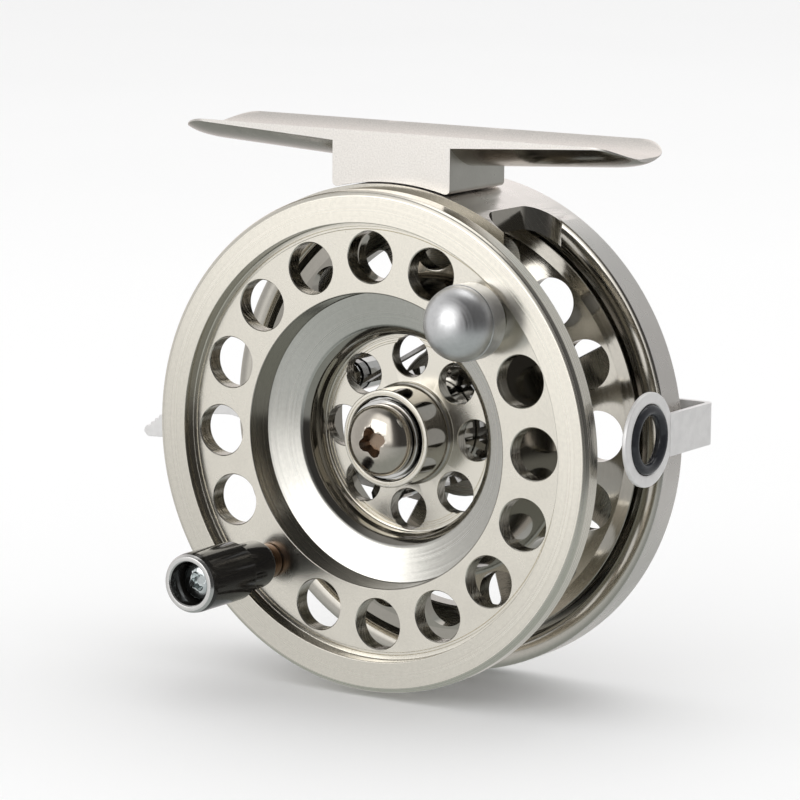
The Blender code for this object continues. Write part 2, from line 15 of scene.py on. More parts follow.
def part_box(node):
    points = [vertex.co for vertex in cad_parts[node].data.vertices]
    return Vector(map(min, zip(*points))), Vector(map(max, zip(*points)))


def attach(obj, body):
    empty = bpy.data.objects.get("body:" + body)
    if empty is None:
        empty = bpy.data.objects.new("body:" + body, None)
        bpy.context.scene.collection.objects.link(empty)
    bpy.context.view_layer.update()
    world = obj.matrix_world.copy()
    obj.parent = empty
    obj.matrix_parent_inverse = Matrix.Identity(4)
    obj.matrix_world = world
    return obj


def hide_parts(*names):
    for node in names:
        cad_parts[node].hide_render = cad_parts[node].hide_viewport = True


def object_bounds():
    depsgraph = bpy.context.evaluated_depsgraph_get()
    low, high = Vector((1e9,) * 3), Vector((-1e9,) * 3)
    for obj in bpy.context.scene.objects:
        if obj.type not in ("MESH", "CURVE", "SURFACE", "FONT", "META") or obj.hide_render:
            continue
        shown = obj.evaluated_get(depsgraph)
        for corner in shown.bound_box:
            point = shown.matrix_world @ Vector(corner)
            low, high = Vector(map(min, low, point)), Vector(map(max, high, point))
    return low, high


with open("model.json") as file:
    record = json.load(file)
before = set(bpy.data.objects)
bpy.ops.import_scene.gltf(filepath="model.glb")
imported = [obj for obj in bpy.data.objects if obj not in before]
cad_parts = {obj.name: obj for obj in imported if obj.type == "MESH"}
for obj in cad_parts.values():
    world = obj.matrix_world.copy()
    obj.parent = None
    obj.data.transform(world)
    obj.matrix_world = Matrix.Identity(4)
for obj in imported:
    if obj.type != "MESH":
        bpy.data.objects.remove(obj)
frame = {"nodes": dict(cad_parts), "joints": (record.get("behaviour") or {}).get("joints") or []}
cad_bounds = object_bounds()

MM = 0.001

# Roundness of turned pieces, and a small turn that keeps a cutter's seam off other edges
FINE = 192
MEDIUM = 96
SMALL = 64
SEAM_TURN = 0.013

SHARP_ANGLE = radians(32)

joints = {joint["name"]: joint for joint in frame["joints"]}
AXIS = Vector(joints["spool_spin"]["pos_m"])
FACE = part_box("spool")[0].y
RIM = (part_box("spool")[1].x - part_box("spool")[0].x) / 2 / MM
HANDLE = Vector(joints["handle_spin"]["pos_m"]) - AXIS
PIVOT = Vector(joints["lever_turn"]["pos_m"]) - AXIS


def place(x, depth, z):
    """World point of a point given in millimetres from the spool axis and the rim's face."""
    return Vector((AXIS.x + x * MM, FACE + depth * MM, AXIS.z + z * MM))


def middle(node):
    """Centre of a CAD node across the spool axis, in millimetres: (x, z)."""
    low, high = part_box(node)
    return ((low.x + high.x) / 2 - AXIS.x) / MM, ((low.z + high.z) / 2 - AXIS.z) / MM


def span(node):
    """Depths of a CAD node's front and back, in millimetres."""
    low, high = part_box(node)
    return (low.y - FACE) / MM, (high.y - FACE) / MM


def polar(radius, angle):
    return radius * cos(angle), radius * sin(angle)


# ---------------------------------------------------------------- outlines and meshes

def rounded(points):
    """Round each (a, b, fillet) corner of a closed outline; a point of two numbers stays sharp."""
    result = []
    count = len(points)
    for index, point in enumerate(points):
        here = Vector(point[:2])
        fillet = point[2] if len(point) > 2 else 0.0
        if fillet <= 0:
            result.append(tuple(here))
            continue
        back = Vector(points[index - 1][:2]) - here
        ahead = Vector(points[(index + 1) % count][:2]) - here
        room = min(back.length, ahead.length)
        back.normalize()
        ahead.normalize()
        half = back.angle(ahead) / 2
        reach = min(fillet / tan(half), room * 0.49)
        radius = reach * tan(half)
        centre = here + (back + ahead).normalized() * (radius / sin(half))
        start = here + back * reach - centre
        turn = start.angle_signed(here + ahead * reach - centre)
        steps = max(2, ceil(abs(degrees(turn)) / 15))
        for step in range(steps + 1):
            angle = -turn * step / steps
            spot = centre + Vector((start.x * cos(angle) - start.y * sin(angle),
                                    start.x * sin(angle) + start.y * cos(angle)))
            result.append(tuple(spot))
    return result


def arc(centre, radius, start, end, count):
    """Points on an arc, ends included; angles in degrees."""
    return [(centre[0] + radius * cos(radians(start + (end - start) * index / count)),
             centre[1] + radius * sin(radians(start + (end - start) * index / count)))
            for index in range(count + 1)]


def lathe(outline, steps, bm=None, centre=(0.0, 0.0), turn=0.0):
    """Turn a closed (radius, depth) outline about the depth axis through centre."""
    bm = bm or bmesh.new()
    rows = []
    for radius, depth in outline:
        if radius < 1e-6:
            rows.append([bm.verts.new((centre[0] * MM, depth * MM, centre[1] * MM))] * steps)
            continue
        ring = []
        for step in range(steps):
            x, z = polar(radius, turn + 2 * pi * step / steps)
            ring.append(bm.verts.new(((centre[0] + x) * MM, depth * MM, (centre[1] + z) * MM)))
        rows.append(ring)
    for first, second in zip(rows, rows[1:] + rows[:1]):
        for step in range(steps):
            after = (step + 1) % steps
            corners = []
            for vert in (first[step], first[after], second[after], second[step]):
                if vert not in corners:
                    corners.append(vert)
            if len(corners) > 2:
                bm.faces.new(corners)
    return bm


def prism(outline, low, high):
    """Extrude a closed (x, z) outline from depth low to depth high."""
    bm = bmesh.new()
    front = [bm.verts.new((x * MM, low * MM, z * MM)) for x, z in outline]
    back = [bm.verts.new((x * MM, high * MM, z * MM)) for x, z in outline]
    bm.faces.new(front)
    bm.faces.new(back)
    for index in range(len(outline)):
        after = (index + 1) % len(outline)
        bm.faces.new((front[index], front[after], back[after], back[index]))
    return bm


def layers(rings, bm=None):
    """Skin closed rings of (x, depth, z) points one after the other and cap both ends."""
    bm = bm or bmesh.new()
    made = [[bm.verts.new((x * MM, y * MM, z * MM)) for x, y, z in ring] for ring in rings]
    for first, second in zip(made, made[1:]):
        for index in range(len(first)):
            after = (index + 1) % len(first)
            bm.faces.new((first[index], first[after], second[after], second[index]))
    bm.faces.new(made[0])
    bm.faces.new(made[-1])
    return bm


def new_object(name, bm, origin):
    """An object with its mesh in millimetre-true size about origin, a world point."""
    bmesh.ops.recalc_face_normals(bm, faces=bm.faces)
    mesh = bpy.data.meshes.new(name)
    bm.to_mesh(mesh)
    bm.free()
    thing = bpy.data.objects.new(name, mesh)
    thing.location = origin
    bpy.context.scene.collection.objects.link(thing)
    return thing


def apply_modifiers(thing):
    """Replace the mesh by its evaluated one and drop the modifiers."""
    bpy.context.view_layer.update()
    depsgraph = bpy.context.evaluated_depsgraph_get()
    mesh = bpy.data.meshes.new_from_object(thing.evaluated_get(depsgraph))
    thing.modifiers.clear()
    old = thing.data
    thing.data = mesh
    bpy.data.meshes.remove(old)


def combine(thing, bm, operation="DIFFERENCE"):
    """Cut or join thing with a closed bmesh that shares its origin."""
    tool = new_object(thing.name + "_tool", bm, thing.location)
    step = thing.modifiers.new("combine", "BOOLEAN")
    step.operation = operation
    step.solver = "EXACT"
    step.object = tool
    apply_modifiers(thing)
    bpy.data.objects.remove(tool)


def bevel(thing, width, segments=3, angle=35):
    step = thing.modifiers.new("bevel", "BEVEL")
    step.width = width * MM
    step.segments = segments
    step.limit_method = "ANGLE"
    step.angle_limit = radians(angle)
    apply_modifiers(thing)


def finish_piece(thing, body, nodes, paints):
    """Smooth shading, materials, and the piece's place in the frame."""
    mesh = thing.data
    mesh.shade_smooth()
    mesh.set_sharp_from_angle(angle=SHARP_ANGLE)
    step = thing.modifiers.new("even_shading", "WEIGHTED_NORMAL")
    step.keep_sharp = True
    if not mesh.materials:
        for paint in paints if isinstance(paints, (list, tuple)) else [paints]:
            mesh.materials.append(paint)
    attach(thing, body)
    if nodes:
        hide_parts(*nodes)
    return thing


def paint_faces(thing, choose):
    """Give each face the material index that choose(radius, depth, normal) returns, in mm."""
    for face in thing.data.polygons:
        x, y, z = face.center / MM
        face.material_index = choose(hypot(x, z), y, face.normal)


# ---------------------------------------------------------------- materials

class Nodes:
    """A material's node tree, with short calls for the nodes used here."""

    def __init__(self, name, colour, roughness, metallic=1.0):
        self.material = bpy.data.materials.new(name)
        self.material.use_nodes = True
        self.tree = self.material.node_tree
        self.shader = self.tree.nodes["Principled BSDF"]
        self.shader.inputs["Base Color"].default_value = (*colour, 1.0)
        self.shader.inputs["Roughness"].default_value = roughness
        self.shader.inputs["Metallic"].default_value = metallic
        self.colour = colour
        self.roughness = roughness
        self.height = None

    def add(self, kind, **settings):
        node = self.tree.nodes.new("ShaderNode" + kind)
        for key, value in settings.items():
            setattr(node, key, value)
        return node

    def link(self, source, target):
        self.tree.links.new(source, target)

    def point(self, scale=(1.0, 1.0, 1.0)):
        """Object coordinates in millimetres, times scale."""
        where = self.add("TexCoord")
        scaled = self.add("VectorMath", operation="MULTIPLY")
        scaled.inputs[1].default_value = tuple(value / MM for value in scale)
        self.link(where.outputs["Object"], scaled.inputs[0])
        return scaled.outputs[0]

    def math(self, operation, first, second=0.0):
        node = self.add("Math", operation=operation)
        for socket, value in zip(node.inputs, (first, second)):
            if isinstance(value, (int, float)):
                socket.default_value = value
            else:
                self.link(value, socket)
        return node.outputs[0]

    def turning(self, pitch):
        """Noise that only changes from ring to ring round the Y axis, as a lathe tool leaves."""
        length = self.add("VectorMath", operation="LENGTH")
        self.link(self.point((1.0, 0.0, 1.0)), length.inputs[0])
        split = self.add("SeparateXYZ")
        self.link(self.point(), split.inputs[0])
        along = self.math("MULTIPLY", split.outputs["Y"], 1.31)
        noise = self.add("TexNoise", noise_dimensions="1D")
        noise.inputs["Scale"].default_value = 1.0 / pitch
        noise.inputs["Detail"].default_value = 2.0
        self.link(self.math("ADD", length.outputs["Value"], along), noise.inputs["W"])
        return noise.outputs["Fac"]

    def grain(self, size, detail=3.0, stretch=(1.0, 1.0, 1.0)):
        noise = self.add("TexNoise")
        noise.inputs["Scale"].default_value = 1.0 / size
        noise.inputs["Detail"].default_value = detail
        self.link(self.point(stretch), noise.inputs["Vector"])
        return noise.outputs["Fac"]

    def spread(self, fac, low, high):
        """Map a noise around one half to the range low to high."""
        node = self.add("MapRange")
        node.inputs["From Min"].default_value = 0.3
        node.inputs["From Max"].default_value = 0.7
        node.inputs["To Min"].default_value = low
        node.inputs["To Max"].default_value = high
        self.link(fac, node.inputs["Value"])
        return node.outputs["Result"]

    def tint(self, fac, amount):
        """Darken and lighten the base colour by amount with the noise."""
        mix = self.add("Mix", data_type="RGBA")
        mix.inputs["A"].default_value = (*(value * (1 - amount) for value in self.colour), 1.0)
        mix.inputs["B"].default_value = (*(min(1.0, value * (1 + amount)) for value in self.colour), 1.0)
        self.link(self.spread(fac, 0.0, 1.0), mix.inputs["Factor"])
        self.link(mix.outputs["Result"], self.shader.inputs["Base Color"])

    def rough(self, fac, amount):
        self.link(self.spread(fac, self.roughness - amount, self.roughness + amount),
                  self.shader.inputs["Roughness"])

    def bump(self, fac, depth):
        """Raise the surface by depth millimetres where the noise is high; calls stack."""
        node = self.add("Bump")
        node.inputs["Strength"].default_value = 1.0
        node.inputs["Distance"].default_value = depth * MM
        self.link(fac, node.inputs["Height"])
        if self.height:
            self.link(self.height, node.inputs["Normal"])
        self.height = node.outputs["Normal"]
        self.link(self.height, self.shader.inputs["Normal"])

    def brushed_round(self, amount):
        """Stretch highlights across the turning marks."""
        tangent = self.add("Tangent", direction_type="RADIAL", axis="Y")
        self.shader.inputs["Anisotropic"].default_value = amount
        self.link(tangent.outputs["Tangent"], self.shader.inputs["Tangent"])


def turned_metal(name, colour, roughness, pitch=0.3, mark=0.004, stretch=0.0, speck=0.03, metallic=1.0):
    """Metal with marks of the given pitch and height in mm, and a highlight stretched round it."""
    made = Nodes(name, colour, roughness, metallic)
    rings = made.turning(pitch)
    made.tint(made.grain(0.5), speck)
    made.rough(rings, roughness * 0.25)
    made.bump(rings, mark)
    if stretch:
        made.brushed_round(stretch)
    return made.material


def blasted_metal(name, colour, roughness, size, mark, speck):
    """Metal with a fine grain all over, as from glass beads or etching."""
    made = Nodes(name, colour, roughness)
    fine = made.grain(size, 4.0)
    made.tint(fine, speck)
    made.rough(made.grain(2.5), 0.05)
    made.bump(fine, mark)
    return made.material


def rolled_metal(name, colour, roughness, stretch=(1.0, 1.0, 0.06), mark=0.004, metallic=1.0):
    """Metal with fine straight lines along the short side of stretch."""
    made = Nodes(name, colour, roughness, metallic)
    lines = made.grain(0.12, 3.0, stretch)
    made.tint(made.grain(1.3), 0.05)
    made.rough(lines, roughness * 0.2)
    made.bump(lines, mark)
    return made.material


def smooth_plastic(name, colour, roughness):
    made = Nodes(name, colour, roughness, 0.0)
    made.tint(made.grain(0.8), 0.2)
    made.rough(made.grain(1.7), roughness * 0.3)
    made.bump(made.grain(0.5), 0.002)
    return made.material


CHAMPAGNE = (0.85, 0.81, 0.72)
rim_paint = turned_metal("rim_satin", CHAMPAGNE, 0.24, 0.35, 0.0015, 0.45)
ring_paint = blasted_metal("ring_satin", CHAMPAGNE, 0.24, 0.12, 0.0015, 0.05)
dish_paint = turned_metal("dish_turned", (0.70, 0.685, 0.635), 0.22, 0.28, 0.004, 0.4)
# Polished alloy on the inner faces, its champagne colour darkened to about half: painted shade between the
# parts
polished_shade_paint = turned_metal("polished_alloy_painted_shade", (0.47, 0.445, 0.395), 0.10, 0.4, 0.001, 0.0)
# Hole walls: turning marks, with the champagne colour darkened as painted shade inside the holes
bore_marks_shade_paint = turned_metal("bore_marks_painted_shade", (0.50, 0.47, 0.41), 0.18, 0.5, 0.05, 0.0)
# The frame ring's front face behind the spool: champagne colour darkened, painted shade
bead_shade_paint = turned_metal("ring_bead_painted_shade", (0.60, 0.57, 0.51), 0.15, 0.4, 0.001, 0.2)
frame_paint = blasted_metal("frame_satin", (0.82, 0.785, 0.745), 0.29, 0.2, 0.0005, 0.02)
# The back plate inside the frame: the frame's colour darkened to under half, painted shade
plate_shade_paint = turned_metal("plate_polished_painted_shade", (0.38, 0.37, 0.335), 0.27, 0.35, 0.003, 0.3)
foot_paint = blasted_metal("blasted_alloy", (0.83, 0.795, 0.75), 0.34, 0.2, 0.012, 0.08)
# The arms' undersides: smoother alloy in a darkened champagne colour, painted shade
underside_shade_paint = rolled_metal("foot_underside_painted_shade", (0.50, 0.46, 0.41), 0.16, (0.05, 1.0, 1.0))
# The block's end faces under the arms: the foot's colour darkened, painted shade
end_shade_paint = blasted_metal("milled_end_painted_shade", (0.60, 0.59, 0.54), 0.32, 0.3, 0.003, 0.02)
dome_paint = turned_metal("grey_alloy", (0.85, 0.85, 0.855), 0.38, 0.5, 0.001, 0.1, speck=0.04)
nickel_paint = turned_metal("bright_nickel", (0.72, 0.71, 0.69), 0.10, 0.6, 0.0015)
screw_paint = turned_metal("spool_screw", (0.62, 0.57, 0.50), 0.11, 0.6, 0.0015)
# Brass darkened to a very dark brown: painted shadow of the handle where its post meets the ring
brass_shadow_paint = turned_metal("brass", (0.20, 0.115, 0.065), 0.30, 0.5, 0.001)
sheet_paint = rolled_metal("sheet_metal", (0.80, 0.79, 0.78), 0.40, metallic=0.45)
ceramic_paint = smooth_plastic("grey_ceramic", (0.022, 0.023, 0.027), 0.12)
sleeve_paint = turned_metal("black_sleeve", (0.012, 0.011, 0.010), 0.10, 0.5, 0.001, speck=0.1,
                            metallic=0.0)
tip_paint = turned_metal("sleeve_tip", (0.80, 0.79, 0.77), 0.22, 0.2, 0.002)
zinc_paint = turned_metal("zinc_screw", (0.66, 0.70, 0.70), 0.14, 0.5, 0.002)
# Dark brown for the inside of the screw's recess: painted shade
recess_shade_paint = rolled_metal("recess", (0.32, 0.24, 0.18), 0.30)
spring_paint = rolled_metal("spring_steel", (0.42, 0.41, 0.40), 0.25)

# ---------------------------------------------------------------- spool

HOLE_RADIUS = 3.08
HOLE_CIRCLE = 21.98
HOLES = 16
TAKEN_HOLES = (2, 10)  # by the counterweight and the handle
HOLE_TWIST = radians(-2.08)
INNER_HOLES = 8
INNER_CIRCLE = 9.29
INNER_RADIUS = 2.5


def station(index):
    """Centre of an outer hole, clockwise from the top as seen from the front."""
    return polar(HOLE_CIRCLE, pi / 2 - HOLE_TWIST - 2 * pi * index / HOLES)


def groove(radius, depth, width=0.16, deep=0.12):
    """Four points of a small groove in a face, going outwards."""
    return [(radius - width, depth), (radius - width * 0.6, depth + deep),
            (radius + width * 0.6, depth + deep), (radius + width, depth)]


def drill(bm, centre, radius, front, back, chamfer=0.11):
    """A hole cutter that also breaks the edges of the front and back faces."""
    over = 0.4
    outline = [(0.0, front - over), (radius + chamfer + over, front - over), (radius, front + chamfer),
               (radius, back - chamfer), (radius + chamfer + over, back + over), (0.0, back + over)]
    return lathe(outline, SMALL, bm, centre, SEAM_TURN)


def make_spool():
    """Rim, perforated ring, dish, floor, hub and rear flange: one profile, then the holes."""
    hub_face, floor, ring_face, front_back = 4.24, 9.6, 1.75, 3.95
    outline = [(5.05, hub_face + 0.2)]
    outline += [(5.2, hub_face, 0.03)] + groove(5.42, hub_face, 0.09, 0.1) + [(5.9, hub_face, 0.16)]
    outline += [(5.9, 8.85, 0.12), (6.22, 9.0, 0.1), (6.22, floor, 0.05)]
    outline += groove(11.1, floor) + groove(11.6, floor, 0.12)
    outline += [(12.05, floor, 0.12), (12.05, 8.5, 0.12), (12.4, 8.1, 0.25), (12.45, 7.1, 0.5)]
    outline += [(13.35, 6.26, 0.9), (17.5, 5.1, 0.12), (17.68, ring_face, 0.16)]
    outline += groove(25.5, ring_face, 0.2, 0.14) + [(26.2, ring_face, 0.12), (26.2, 0.0, 0.1)]
    outline += [(29.4, 0.1, 0.4), (29.8, 0.3, 0.2), (RIM, 0.7, 0.3), (RIM, 2.6, 0.3)]
    outline += [(28.9, front_back, 0.15)]
    outline += [(18.3, front_back, 0.5), (18.3, 15.9, 0.5), (25.4, 17.35, 0.3), (27.0, 17.5, 0.12)]
    outline += [(27.0, 18.7, 0.15), (15.5, 18.7, 0.2), (15.5, 11.3, 0.4), (5.9, 11.3, 0.3)]
    outline += [(5.9, 15.2, 0.1), (5.6, 15.2), (5.6, 17.3, 0.12), (5.05, 17.3, 0.1), (5.05, 14.0)]
    outline += [(4.0, 14.0), (4.0, 7.95), (5.05, 7.95)]
    spool = new_object("spool_body", lathe(rounded(outline), FINE), place(0, 0, 0))
    cutters = bmesh.new()
    for index in range(HOLES):
        if index in TAKEN_HOLES:
            lathe([(0, 1), (1.55, 1), (1.55, 5), (0, 5)], SMALL, cutters, station(index), SEAM_TURN)
        else:
            drill(cutters, station(index), HOLE_RADIUS, ring_face, front_back)
        lathe([(0, 15), (HOLE_RADIUS, 15), (HOLE_RADIUS, 18.58), (HOLE_RADIUS + 0.6, 19.2), (0, 19.2)],
              SMALL, cutters, station(index), SEAM_TURN)
    for index in range(INNER_HOLES):
        centre = polar(INNER_CIRCLE, pi / 2 + 2 * pi * index / INNER_HOLES)
        drill(cutters, centre, INNER_RADIUS, floor, 11.3, 0.07)
    combine(spool, cutters)
    paints = [rim_paint, ring_paint, dish_paint, polished_shade_paint, bore_marks_shade_paint]
    for paint in paints:
        spool.data.materials.append(paint)

    def choose(radius, depth, normal):
        """Rim 0, flat faces 1, dish 2, hole walls 4, and 3 for all that is polished; 3 and 4 are the rim's
        colour darkened, painted shade.
        """
        across = abs(normal.y) < 0.3
        if radius > 26.1 and depth < 4:
            return 3 if across and radius < 26.5 else 0
        if depth < 4 and 17.9 < radius < 26.15:
            return 4 if across else 1
        if 12.9 < radius < 17.45 and 4.9 < depth < 6.6:
            return 2
        if depth < 4.9 and radius < 6.0:
            return 1
        if 9.4 < depth < 9.9 and not across:
            return 1
        if across and 6.5 < radius < 11.95 and depth > 9:
            return 4
        return 3

    paint_faces(spool, choose)
    finish_piece(spool, "spool", ["spool"], paints)


# ---------------------------------------------------------------- frame

RING_BORE = 27.95
RING_RADIUS = 30.45
RING_FRONT = 17.5
PLATE = (21.0, 23.5)
BRIDGE_FRONT = 4.25
BRIDGE_HALF = 12.4
BRIDGE_FILLET = 3.6
WINDOWS = 8
SOLID_SECTOR = 2  # the plate stays whole under the foot
WINDOW_INNER = 9.5
WINDOW_OUTER = 23.3
WINDOW_HALF_ANGLE = radians(16.0)


def window_outline(centre_angle, grow):
    """A ring sector with round corners, grown outwards by grow."""
    inner, outer, corner = WINDOW_INNER - grow, WINDOW_OUTER + grow, 1.2 + grow
    sides = []
    for radius, signs in ((inner, (-1, 1)), (outer, (1, -1))):
        half = WINDOW_HALF_ANGLE + asin(grow / radius)
        count = 6 if radius == inner else 12
        for index in range(count + 1):
            share = signs[0] + (signs[1] - signs[0]) * index / count
            fillet = corner if index in (0, count) else 0.0
            sides.append((*polar(radius, centre_angle + half * share), fillet))
    # The neighbours of the corner points make way for the rounding.
    trimmed = [point for index, point in enumerate(sides) if index not in (1, 5, 8, 18)]
    return rounded(trimmed)


def bridge_outline():
    """The bridge from above: waisted, with a fillet into each end."""
    edge, fillet = BRIDGE_HALF + BRIDGE_FILLET, BRIDGE_FILLET
    right = arc((edge, BRIDGE_FRONT + fillet), fillet, 270, 180, 14)
    right += arc((edge, RING_FRONT - fillet), fillet, 180, 90, 14)
    left = [(-x, depth) for x, depth in reversed(right)]
    return [(edge, 2.0)] + right + [(12.6, 19.0), (-12.6, 19.0)] + left + [(-edge, 2.0)]


def make_frame():
    """A full cup with its front cut away from all but the bridge, then the windows."""
    spindle_bore = 2.1
    outline = [(RING_BORE, BRIDGE_FRONT), (RING_RADIUS, BRIDGE_FRONT), (RING_RADIUS, 22.0, 0.5)]
    outline += [(28.95, PLATE[1], 0.4), (7.4, PLATE[1], 0.1), (7.2, 23.3), (spindle_bore, 23.3)]
    outline += [(spindle_bore, 21.7), (3.05, 21.7), (3.05, 17.45), (4.2, 17.45, 0.2), (4.2, 19.5, 0.3)]
    outline += [(6.5, PLATE[0], 0.5), (RING_BORE, PLATE[0], 0.5)]
    body = new_object("frame_body", lathe(rounded(outline), FINE), place(0, 0, 0))
    crest = [(29.2 + 1.27 * sin(radians(a)), 17.9 - 0.4 * cos(radians(a))) for a in range(80, -81, -10)]
    front = [(0.0, 1.0), (40.0, 1.0), (40.0, crest[0][1])] + crest + [(0.0, crest[-1][1])]
    front_tool = new_object("front_tool", lathe(front, FINE), body.location)
    points = bridge_outline()
    combine(front_tool, layers([[(x, y, z) for x, y in points] for z in (10, 50)]))
    step = body.modifiers.new("front", "BOOLEAN")
    step.solver = "EXACT"
    step.object = front_tool
    apply_modifiers(body)
    bpy.data.objects.remove(front_tool)
    cutters = bmesh.new()
    for index in range(WINDOWS):
        if index == SOLID_SECTOR:
            continue
        angle = 2 * pi * index / WINDOWS
        rings = []
        for depth, grow in ((PLATE[0] - 0.5, 0.7), (PLATE[0] + 0.2, 0.0), (PLATE[1] - 0.2, 0.0),
                            (PLATE[1] + 0.5, 0.7)):
            rings.append([(x, depth, z) for x, z in window_outline(angle, grow)])
        layers(rings, cutters)
    combine(body, cutters)
    bevel(body, 0.16, 2, 40)
    paints = [frame_paint, plate_shade_paint, polished_shade_paint, bead_shade_paint]

    def choose(radius, depth, normal):
        """Outside and back 0, ring front 3, the rest in front of the plate 2, plate 1; 1, 2 and 3 are
        darker copies of the alloy colour, painted shade.
        """
        if radius > 30.36 or depth > 23.1 or (radius > 28.5 and depth > 21.9):
            return 0
        if depth < 18.5 and radius > 27.9 and normal.y < -0.3 and hypot(normal.x, normal.z) < 0.95:
            return 3
        if depth < 17.4:
            return 2
        return 1

    for paint in paints:
        body.data.materials.append(paint)
    paint_faces(body, choose)
    finish_piece(body, "frame", ["frame"], paints)


# ---------------------------------------------------------------- foot

FOOT_HALF = (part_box("reel_foot")[1].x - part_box("reel_foot")[0].x) / 2 / MM
FOOT_WIDTH = (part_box("reel_foot")[1].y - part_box("reel_foot")[0].y) / 2 / MM
FOOT_DEPTH = sum(span("reel_foot")) / 2
SEAT = -AXIS.z / MM
CORNER = 4.2
BLOCK_HALF = 8.2
BLOCK_ROUND = 0.8


def foot_section(x):
    """Upper and lower line of the foot at x: points (depth from the middle, height)."""
    taper = max(0.0, (abs(x) - BLOCK_HALF) / (FOOT_HALF - BLOCK_HALF))
    side = 1.4 - 1.3 * taper
    past = max(0.0, abs(x) - (FOOT_HALF - CORNER)) / CORNER
    half = FOOT_WIDTH - CORNER * (1 - max(0.0, 1 - past ** 2) ** 0.5)
    land = min(1.5, 0.6 * half)

    def top(y):
        return SEAT + 1.5 * (max(0.0, abs(y) - 1.5) / (FOOT_WIDTH - 1.5)) ** 2

    count = 10
    across = [land + (half - land) * index / count for index in range(count + 1)]
    upper = [(-y, top(y)) for y in reversed(across)] + [(y, top(y)) for y in across]
    belly = 2.5 * (half / FOOT_WIDTH) ** 2
    shares = [1 - index / 8 for index in range(17)]
    lower = [(half * share, top(half) - side - belly * (1 - share ** 2)) for share in shares]
    return upper, lower


def block_bottom(x):
    """Height of the block's underside at x: a saddle on the bridge, with rounded corners."""
    past = max(0.0, abs(x) - (BLOCK_HALF - BLOCK_ROUND))
    saddle = ((RING_RADIUS + 0.15) ** 2 - x ** 2) ** 0.5
    return saddle + BLOCK_ROUND - (BLOCK_ROUND ** 2 - past ** 2) ** 0.5


def make_foot():
    """Two dished arms, and between them the block that sits on the bridge, in one skin."""
    bm = bmesh.new()

    def row(x, section):
        return [bm.verts.new((x * MM, (FOOT_DEPTH + y) * MM, (z - SEAT) * MM)) for y, z in section]

    def skin(first, second, count):
        for index in range(count):
            after = (index + 1) % len(first)
            bm.faces.new((first[index], first[after], second[after], second[index]))

    arm = [BLOCK_HALF, 12.0, 16.0, 20.0, 24.0, FOOT_HALF - CORNER]
    arm += [FOOT_HALF - CORNER * (1 - sin(radians(turn))) for turn in range(8, 84, 8)]
    upper, lower = foot_section(BLOCK_HALF)
    for side in (-1, 1):
        rows = []
        for x in arm:
            above, below = foot_section(x)
            rows.append(row(side * x, above + below))
        for first, second in zip(rows, rows[1:]):
            skin(first, second, len(first))
        bm.faces.new(rows[-1])
        hem = [(y, block_bottom(BLOCK_HALF)) for y, z in lower]
        skin(row(side * BLOCK_HALF, lower), row(side * BLOCK_HALF, hem), len(lower) - 1)
    half = [BLOCK_HALF - BLOCK_ROUND * (1 - sin(radians(turn))) for turn in range(0, 91, 15)]
    half = [1.5, 3.0, 4.5, 6.0] + half
    rows = []
    for x in [-x for x in reversed(half)] + [0.0] + half:
        drop = [(y, block_bottom(x)) for y, z in lower]
        rows.append(row(x, upper + lower[:1] + drop + lower[-1:]))
    for first, second in zip(rows, rows[1:]):
        skin(first, second, len(first))
    bmesh.ops.remove_doubles(bm, verts=bm.verts, dist=0.001 * MM)
    foot = new_object("foot_body", bm, place(0, 0, SEAT))
    bevel(foot, 0.14, 2, 40)
    paints = [foot_paint, underside_shade_paint, end_shade_paint]
    for paint in paints:
        foot.data.materials.append(paint)
    # Block ends and the arms' undersides take darker copies of the alloy colour, painted shade under the
    # arms; the undersides are also smoother
    for face in foot.data.polygons:
        x, y, z = face.center / MM
        if abs(abs(x) - BLOCK_HALF) < 0.3 and abs(face.normal.x) > 0.9:
            face.material_index = 2
        elif face.normal.z < -0.2 and abs(x) > BLOCK_HALF:
            face.material_index = 1
    finish_piece(foot, "frame", ["reel_foot"], paints)
    for face in foot.data.polygons:
        if abs(face.normal.y) > 0.999:
            face.use_smooth = False


# ---------------------------------------------------------------- screws and small turned pieces

def cross(width, length, mouth, floor, turn):
    """Cutter for a Phillips recess: four tapered wings on a cone."""
    half, reach, root = width / 2, length / 2, width * 0.78
    rings = []
    for depth, share in ((mouth, 1.0), (floor, 0.55)):
        ring = []
        for corner in range(4):
            angle = turn + corner * pi / 2
            wing = [(root * share ** 0.3, root * share ** 0.3), (half * share, reach * share * 0.86),
                    (half * share * 0.55, reach * share), (-half * share * 0.55, reach * share),
                    (-half * share, reach * share * 0.86)]
            for x, z in wing:
                ring.append((x * cos(angle) - z * sin(angle), depth, x * sin(angle) + z * cos(angle)))
        rings.append(ring)
    return layers(rings)


def turned_piece(name, outline, body, nodes, paint, steps=MEDIUM, centre=(0.0, 0.0), cutter=None):
    """A finished piece turned about the depth axis through centre, with a recess if one is given."""
    piece = new_object(name, lathe(rounded(outline), steps), place(centre[0], 0, centre[1]))
    if cutter:
        combine(piece, cutter)
        bevel(piece, 0.05, 2, 50)
    return finish_piece(piece, body, nodes, paint)


